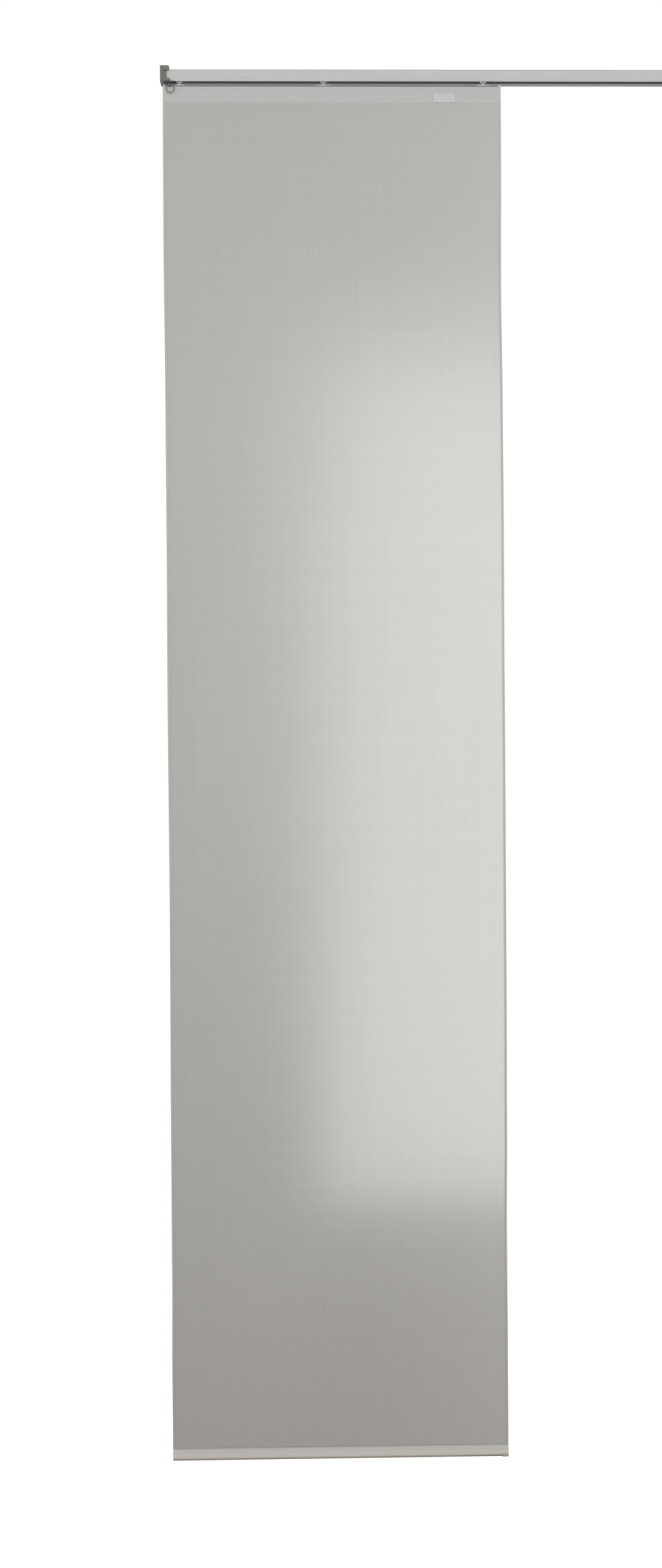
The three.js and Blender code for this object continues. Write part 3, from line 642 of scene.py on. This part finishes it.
def make_ring(name):
    """A round wire ring that hangs across the depth axis."""
    low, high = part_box(name)
    middle = (low + high) / 2
    wire = (high.y - low.y) / 2
    radius = (high.z - low.z) / 2 - wire
    points, faces = [], []
    for i in range(WIRE_TURNS):
        a = TURN * i / WIRE_TURNS
        for k in range(WIRE_SIDES):
            b = TURN * k / WIRE_SIDES
            reach = radius + wire * math.cos(b)
            offset = Vector((reach * math.cos(a), wire * math.sin(b), reach * math.sin(a)))
            points.append(middle + offset)
            here, ahead = i * WIRE_SIDES, (i + 1) % WIRE_TURNS * WIRE_SIDES
            after = (k + 1) % WIRE_SIDES
            faces.append((here + k, here + after, ahead + after, ahead + k))
    mesh = bpy.data.meshes.new(f"wire_{name}")
    mesh.from_pydata(points, [], faces)
    smooth(mesh, WIRE_ANGLE)
    new_piece(f"wire_{name}", mesh, name, FINISHES["ring_nickel"], (name,))


for side in ("left", "right"):
    make_ring(f"ring_{side}")


# Cloth panel: a sheet swept down a section, with its sides and its bottom edge turned back


def eased(share):
    """Smooth from 0 to 1 and level beyond."""
    share = min(max(share, 0.0), 1.0)
    return share * share * (3 - 2 * share)


def stray(table, share):
    """How far an edge is off its plumb line, at a share of the drop."""
    for (low, first), (high, second) in zip(table, table[1:]):
        if share <= high:
            return (first + (second - first) * eased((share - low) / (high - low))) * MM
    return table[-1][1] * MM


def section():
    """(y, z) points of the cloth: from its top edge down, round the bar and up to the seam."""
    bulge, back = CLOTH_DEPTH - TUNNEL, CLOTH_DEPTH + TUNNEL
    inner = FRONT + 2 * FOLD_RADIUS + BACK_CLEARANCE
    drop, opening = SEAM_LEVEL - CLOTH_HIGH.z, SHOULDER_LEVEL - SEAM_LEVEL
    points = [(FRONT, CLOTH_HIGH.z + drop * i / STRAIGHT_ROWS) for i in range(STRAIGHT_ROWS)]
    for i in range(EASE_ROWS + 1):
        out = (bulge - FRONT) * eased(i / EASE_ROWS)
        points.append((FRONT + out, SEAM_LEVEL + opening * i / EASE_ROWS))
    for i in range(1, SIDE_ROWS + 1):
        points.append((bulge, SHOULDER_LEVEL + (ARC_LEVEL - SHOULDER_LEVEL) * i / SIDE_ROWS))
    for i in range(1, ARC_ROWS + 1):
        a = math.pi * i / ARC_ROWS
        points.append((CLOTH_DEPTH - TUNNEL * math.cos(a), ARC_LEVEL - TUNNEL * math.sin(a)))
    for i in range(1, SIDE_ROWS + 1):
        points.append((back, ARC_LEVEL + (SHOULDER_LEVEL - ARC_LEVEL) * i / SIDE_ROWS))
    for i in range(1, EASE_ROWS + 1):
        out = (inner - back) * eased(i / EASE_ROWS)
        points.append((back + out, SHOULDER_LEVEL - opening * i / EASE_ROWS))
    points.append((inner, SEAM_LEVEL + BACK_RISE))
    return points


SECTION = section()
DOWN = [0.0]  # how far along the cloth each point of the section lies
for (y0, z0), (y1, z1) in zip(SECTION, SECTION[1:]):
    DOWN.append(DOWN[-1] + math.hypot(y1 - y0, z1 - z0))


def section_at(down):
    """Point and inward direction of the section, down metres along the cloth from its top edge."""
    down = min(max(down, 0.0), DOWN[-1])
    i = max(k for k in range(len(DOWN) - 1) if DOWN[k] <= down or k == 0)
    (y0, z0), (y1, z1) = SECTION[i], SECTION[i + 1]
    length = DOWN[i + 1] - DOWN[i]
    share = (down - DOWN[i]) / length
    inward = (-(z1 - z0) / length, (y1 - y0) / length)
    return (y0 + (y1 - y0) * share, z0 + (z1 - z0) * share), inward


def across_at(u):
    """(distance from the left edge, depth behind the front) u metres across the flat cloth."""
    mirrored = u > ACROSS / 2
    u = ACROSS - u if mirrored else u
    if u > FOLD_LENGTH / 2:
        x, depth = FOLD_RADIUS + u - FOLD_LENGTH / 2, 0.0
    elif u > -FOLD_LENGTH / 2:
        a = u / FOLD_RADIUS
        x, depth = FOLD_RADIUS * (1 - math.cos(a)), FOLD_RADIUS * (1 - math.sin(a))
    else:
        x, depth = FOLD_RADIUS - u - FOLD_LENGTH / 2, 2 * FOLD_RADIUS
    return (PANEL_WIDTH - x if mirrored else x), depth


def cloth_point(u, down, lift=0.0):
    """A point of the hanging cloth; lift is how far it stands proud of the front."""
    (y, z), (inward_y, inward_z) = section_at(down)
    x, depth = across_at(u)
    depth -= lift
    share = (CLOTH_HIGH.z - z) / (CLOTH_HIGH.z - CLOTH_LOW.z)
    side = x / PANEL_WIDTH
    free = eased((share - STIFF_TOP[0]) / STIFF_TOP[1])
    free *= eased((STIFF_FOOT[0] - share) / STIFF_FOOT[1])
    wave = sum(math.sin(side * a + share * d + start) * tall for a, d, start, tall in WAVES)
    y += wave * free * WAVE
    x += CLOTH_LOW.x + stray(LEFT_STRAY, share) * (1 - side) + stray(RIGHT_STRAY, share) * side
    return Vector((x, y + inward_y * depth, z + inward_z * depth))


def across_places():
    """Where the cloth's columns lie, from one raw edge to the other."""
    turned = [-FOLD_LENGTH / 2 - (SIDE_HEM - FOLD_RADIUS) * share for share in (1.0, 0.66, 0.33)]
    fold = [FOLD_LENGTH * (i / 6 - 0.5) for i in range(7)]
    left = turned + fold + [FOLD_LENGTH / 2 + SIDE_HEM * share for share in (0.4, 0.8, 1.1)]
    start, end = left[-1], ACROSS - left[-1]
    middle = [start + (end - start) * i / COLUMNS for i in range(1, COLUMNS)]
    return left + middle + [ACROSS - u for u in reversed(left)]


def make_cloth():
    places = across_places()
    count = len(places)
    points = [cloth_point(u, down) for down in DOWN for u in places]
    firsts = [row * count + i for row in range(len(DOWN) - 1) for i in range(count - 1)]
    faces = [(a, a + count, a + count + 1, a + 1) for a in firsts]
    mesh = bpy.data.meshes.new("panel_cloth")
    mesh.from_pydata(points, [], faces)
    layer = mesh.uv_layers.new(name="flat_cloth")
    for loop in mesh.loops:
        row, column = divmod(loop.vertex_index, count)
        layer.data[loop.index].uv = (places[column], DOWN[row])
    smooth(mesh, SOFT_ANGLE)
    return new_piece("panel_cloth", mesh, "panel", FINISHES["cloth"], ("cloth",))


cloth = make_cloth()


# Sewn label


def label_point(across, up):
    """A point of the label's front; its lower corners lift a little from the cloth."""
    x = LABEL_LOW.x + (LABEL_HIGH.x - LABEL_LOW.x) * across
    z = LABEL_LOW.z + (LABEL_HIGH.z - LABEL_LOW.z) * up
    lift = LABEL_LIFT * (1 - up) ** 2 * (0.35 + 0.65 * abs(2 * across - 1) ** 3)
    ripple = LABEL_RIPPLE * math.sin(across * 17) * (1 - up)
    return Vector((x, LABEL_HIGH.y - LABEL_STAND - lift - ripple, z))


def make_label():
    columns, rows = LABEL_COLUMNS, LABEL_ROWS
    places = [(i / columns, k / rows) for k in range(rows + 1) for i in range(columns + 1)]
    points = [label_point(across, up) for across, up in places]
    firsts = [k * (columns + 1) + i for k in range(rows) for i in range(columns)]
    faces = [(a, a + 1, a + columns + 2, a + columns + 1) for a in firsts]
    mesh = bpy.data.meshes.new("sewn_label")
    mesh.from_pydata(points, [], faces)
    smooth(mesh, SOFT_ANGLE)
    finish = FINISHES["label_satin"]
    piece = new_piece("sewn_label", mesh, "panel", finish, ("care_label",))
    wall = piece.modifiers.new("ribbon", "SOLIDIFY")
    wall.thickness = RIBBON
    wall.offset = -1
    return piece


label = make_label()


# Seams: stitches laid along lines on the cloth by one geometry tree


def stitch_tree(finish):
    tree = bpy.data.node_groups.new("stitch_line", "GeometryNodeTree")
    for name, kind, direction in (
        ("Seam", "NodeSocketGeometry", "INPUT"),
        ("Pitch", "NodeSocketFloat", "INPUT"),
        ("Stitch length", "NodeSocketFloat", "INPUT"),
        ("Thread radius", "NodeSocketFloat", "INPUT"),
        ("Unevenness", "NodeSocketFloat", "INPUT"),
        ("Stitches", "NodeSocketGeometry", "OUTPUT"),
    ):
        tree.interface.new_socket(name, in_out=direction, socket_type=kind)
    g = Graph(tree)
    given = g.node("NodeGroupInput")
    line = g.node("GeometryNodeMeshToCurve", None, {"Mesh": given.link("Seam")}).link("Curve")
    inputs = {"Curve": line, "Length": given["Pitch"]}
    line = g.node("GeometryNodeResampleCurve", {"mode": "LENGTH"}, inputs).link("Curve")
    way = g.node("GeometryNodeInputTangent").link("Tangent")
    turn = g.node("FunctionNodeAlignRotationToVector", {"axis": "X"}, {"Vector": way})
    sphere = {"Segments": 6, "Rings": 3, "Radius": 1.0}
    bead = g.node("GeometryNodeMeshUVSphere", None, sphere).link("Mesh")
    thick = given["Thread radius"]
    inputs = {"X": given["Stitch length"] * 0.5, "Y": thick, "Z": thick}
    even = g.node("ShaderNodeCombineXYZ", None, inputs).link("Vector")
    low, high = 1.0 - given["Unevenness"], 1.0 + given["Unevenness"]
    inputs = {"Min_001": low, "Max_001": high, "Seed": STITCH_SEED}
    chance = g.node("FunctionNodeRandomValue", {"data_type": "FLOAT"}, inputs)["Value_001"]
    settings, inputs = {"operation": "SCALE"}, {"Vector": even, "Scale": chance}
    size = g.node("ShaderNodeVectorMath", settings, inputs).link("Vector")
    inputs = {"Points": line, "Instance": bead, "Rotation": turn.link("Rotation"), "Scale": size}
    laid = g.node("GeometryNodeInstanceOnPoints", None, inputs).link("Instances")
    real = g.node("GeometryNodeRealizeInstances", None, {"Geometry": laid}).link("Geometry")
    inputs = {"Geometry": real, "Material": finish}
    sewn = g.node("GeometryNodeSetMaterial", None, inputs).link("Geometry")
    g.node("NodeGroupOutput", None, {"Stitches": sewn})
    return tree


STITCHES = stitch_tree(THREAD)
STITCH_SIZES = {
    "Pitch": STITCH_PITCH,
    "Stitch length": STITCH_LENGTH,
    "Thread radius": THREAD_RADIUS,
    "Unevenness": UNEVENNESS,
}


def set_input(modifier, name, value):
    for item in modifier.node_group.interface.items_tree:
        if item.item_type == "SOCKET" and item.in_out == "INPUT" and item.name == name:
            modifier[item.identifier] = value


def sew(name, lines):
    """Stitches along each line of points, as one plain mesh."""
    points, edges = [], []
    for line in lines:
        start = len(points)
        points += line
        edges += [(start + i, start + i + 1) for i in range(len(line) - 1)]
    guide = bpy.data.meshes.new(f"{name}_guide")
    guide.from_pydata(points, edges, [])
    helper = link_object(f"{name}_guide", guide)
    modifier = helper.modifiers.new("stitches", "NODES")
    modifier.node_group = STITCHES
    for key, value in STITCH_SIZES.items():
        set_input(modifier, key, value)
    graph = bpy.context.evaluated_depsgraph_get()
    graph.update()
    mesh = bpy.data.meshes.new_from_object(helper.evaluated_get(graph), depsgraph=graph)
    bpy.data.objects.remove(helper)
    mesh.name = name
    smooth(mesh, SOFT_ANGLE)
    return new_piece(name, mesh, "panel", THREAD)


def seam_down(u, lift, steps=160):
    """A row of stitches down the cloth, u metres across it."""
    length = SEAM_DOWN - 2 * SEAM_STOP
    return [cloth_point(u, SEAM_STOP + length * i / steps, lift) for i in range(steps + 1)]


def seam_across(down, lift, start=0.0, end=1.0, steps=60):
    """A row of stitches across the cloth, from one share of its width to another."""
    inset = FOLD_LENGTH / 2 + 1.0 * MM
    shares = [start + (end - start) * i / steps for i in range(steps + 1)]
    return [cloth_point(inset + (ACROSS - 2 * inset) * share, down, lift) for share in shares]


def label_line(start, end, up, steps=24):
    """A row of stitches along the label, a share up it and from one share across to another."""
    shares = [start + (end - start) * i / steps for i in range(steps + 1)]
    return [label_point(share, up) - Vector((0, 0.05 * MM, 0)) for share in shares]


label_start, label_end = ((x - CLOTH_LOW.x) / PANEL_WIDTH for x in (LABEL_LOW.x, LABEL_HIGH.x))
hem_row = DOWN[STRAIGHT_ROWS] - 0.6 * MM
front_seams = [
    seam_down(SEAM_INSET, PROUD),
    seam_down(ACROSS - SEAM_INSET, PROUD),
    seam_across(TOP_ROW, PROUD),
    seam_across(hem_row, PROUD),
    seam_across(BAND_ROW, PROUD, 0.0, label_start),
    seam_across(BAND_ROW, PROUD, label_end, 1.0),
]
front_thread = sew("front_seams", front_seams)
back_seams = [seam_down(SEAM_INSET, BEHIND), seam_down(ACROSS - SEAM_INSET, BEHIND)]
back_thread = sew("back_seams", back_seams)
label_thread = sew("label_seam", [label_line(0.02, 0.98, 0.9)])

cut_length = DOWN[-1]


# Stage: pale floor, white all round to the camera, soft lamps


def white_to_camera(g):
    """1 for a ray from the camera, off a glossy face or through a clear one, not through cloth."""
    rays = g.node("ShaderNodeLightPath")
    clear = rays["Is Transmission Ray"] * (1.0 - rays["Is Diffuse Ray"])
    return rays["Is Camera Ray"].larger(rays["Is Glossy Ray"]).larger(clear)


def set_up_floor():
    f = Finish("pale_floor")
    colour = f.shade(f.noise(f.place(), 60, 3.0))
    plain = f.node("ShaderNodeBsdfDiffuse", None, {"Color": colour}).link("BSDF")
    inputs = {"Color": WHITE, "Strength": FLOOR_GLOW}
    glow = f.node("ShaderNodeEmission", None, inputs).link("Emission")
    inputs = {"Shader": plain, "Shader_001": glow}
    both = f.node("ShaderNodeAddShader", None, inputs).link("Shader")
    finish = f.done(f.mix_shaders(white_to_camera(f), plain, both))
    near, far = -FLOOR_HALF_DEPTH, FLOOR_HALF_DEPTH
    plan = [(FLOOR_LEFT, near), (FLOOR_RIGHT, near), (FLOOR_RIGHT, far), (FLOOR_LEFT, far)]
    mesh = bpy.data.meshes.new("floor")
    mesh.from_pydata([(x, y, FLOOR_LEVEL) for x, y in plan], [], [(0, 1, 2, 3)])
    mesh.materials.append(finish)
    floor = link_object("floor", mesh)


def set_up_world():
    world = bpy.data.worlds.new("studio")
    bpy.context.scene.world = world
    world.use_nodes = True
    world.node_tree.nodes.clear()
    g = Graph(world.node_tree)
    inputs = {"Color": tone(1.0, 0.995, 0.982), "Strength": STUDIO_LIGHT}
    soft = g.node("ShaderNodeBackground", None, inputs).link("Background")
    inputs = {"Color": WHITE, "Strength": 1.0}
    white = g.node("ShaderNodeBackground", None, inputs).link("Background")
    mixed = g.mix_shaders(white_to_camera(g), soft, white)
    g.node("ShaderNodeOutputWorld", None, {"Surface": mixed})


def soft_lamp(name, place, aim, size, power, colour=(1, 1, 1), spread=180):
    """A flat lamp that lights the object and shows neither to the camera nor in a glossy face."""
    data = bpy.data.lights.new(name, "AREA")
    data.shape = "RECTANGLE"
    data.size, data.size_y = size
    data.energy = power
    data.color = colour
    data.spread = math.radians(spread)
    lamp = link_object(name, data)
    lamp.location = place
    lamp.rotation_euler = (Vector(aim) - Vector(place)).to_track_quat("-Z", "Y").to_euler()
    lamp.visible_camera = False
    lamp.visible_glossy = False


set_up_floor()
set_up_world()
soft_lamp("key_lamp", place=(0.35, -3.2, -0.6), aim=(0.35, 0, -0.9), size=(2.4, 1.1),
          power=6.0, colour=(1.0, 1.0, 0.99), spread=96)
soft_lamp("window_lamp", place=(0.54, 0.11, -1.255), aim=(0.54, 0, -1.248), size=(0.54, 1.53),
          power=2.95, colour=(1.0, 1.0, 0.985))
soft_lamp("edge_lamp", place=(0.85, 0.25, -1.2), aim=(0.55, 0, -1.2), size=(0.2, 2.6), power=2.0)

bpy.context.scene.view_settings.view_transform = "Standard"
